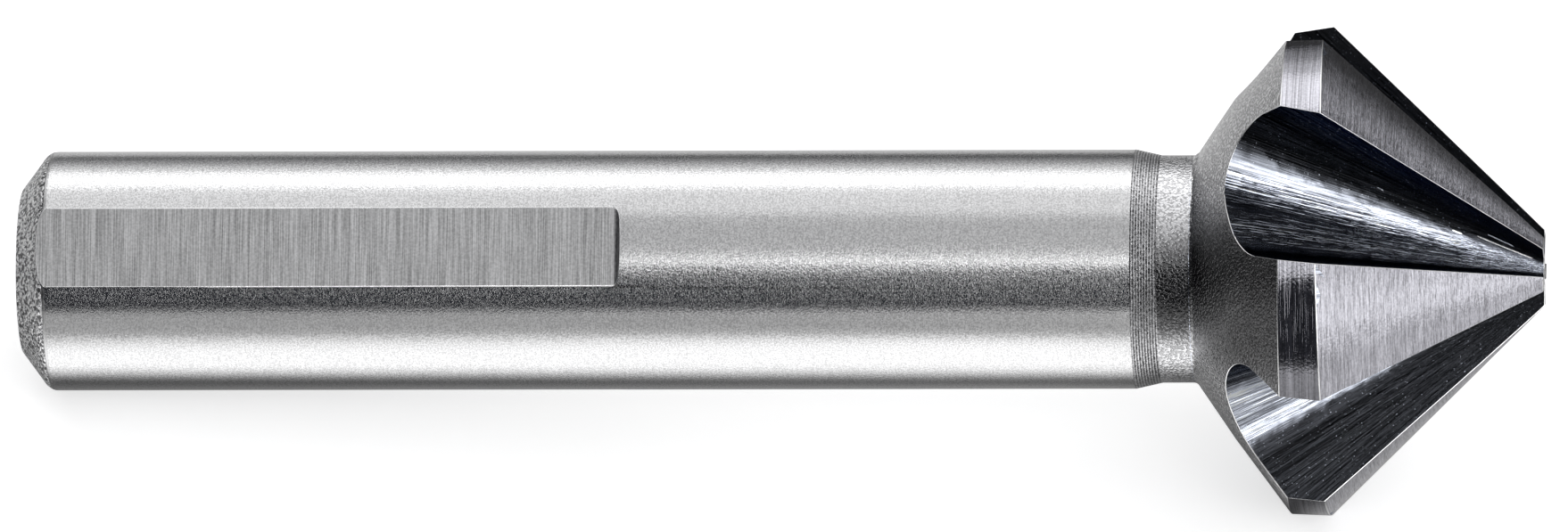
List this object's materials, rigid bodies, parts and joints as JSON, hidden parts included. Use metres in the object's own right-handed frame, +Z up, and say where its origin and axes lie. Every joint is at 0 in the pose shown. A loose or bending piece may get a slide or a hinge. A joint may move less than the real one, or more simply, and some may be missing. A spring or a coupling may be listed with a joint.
{
  "type": "countersink bit",
  "caption": "Steel countersink bit with a conical, fluted 90 degree head and a straight ground shank that has shallow flats for the jaws of a drill chuck.",
  "frame": {"origin": "on the table, below the middle of the bit's box", "axes": "+X along the bit towards its tip, +Z up from the table it lies on, +Y away from the side that the picture shows"},
  "size_m": [0.0638, 0.0204, 0.0201],
  "materials": {
    "steel": "bright ground high speed steel, with a dull blasted neck, finely ground blades and polished dark flutes"
  },
  "bodies": {
    "root": {"countersink_bit": "steel"}
  },
  "joints": []
}
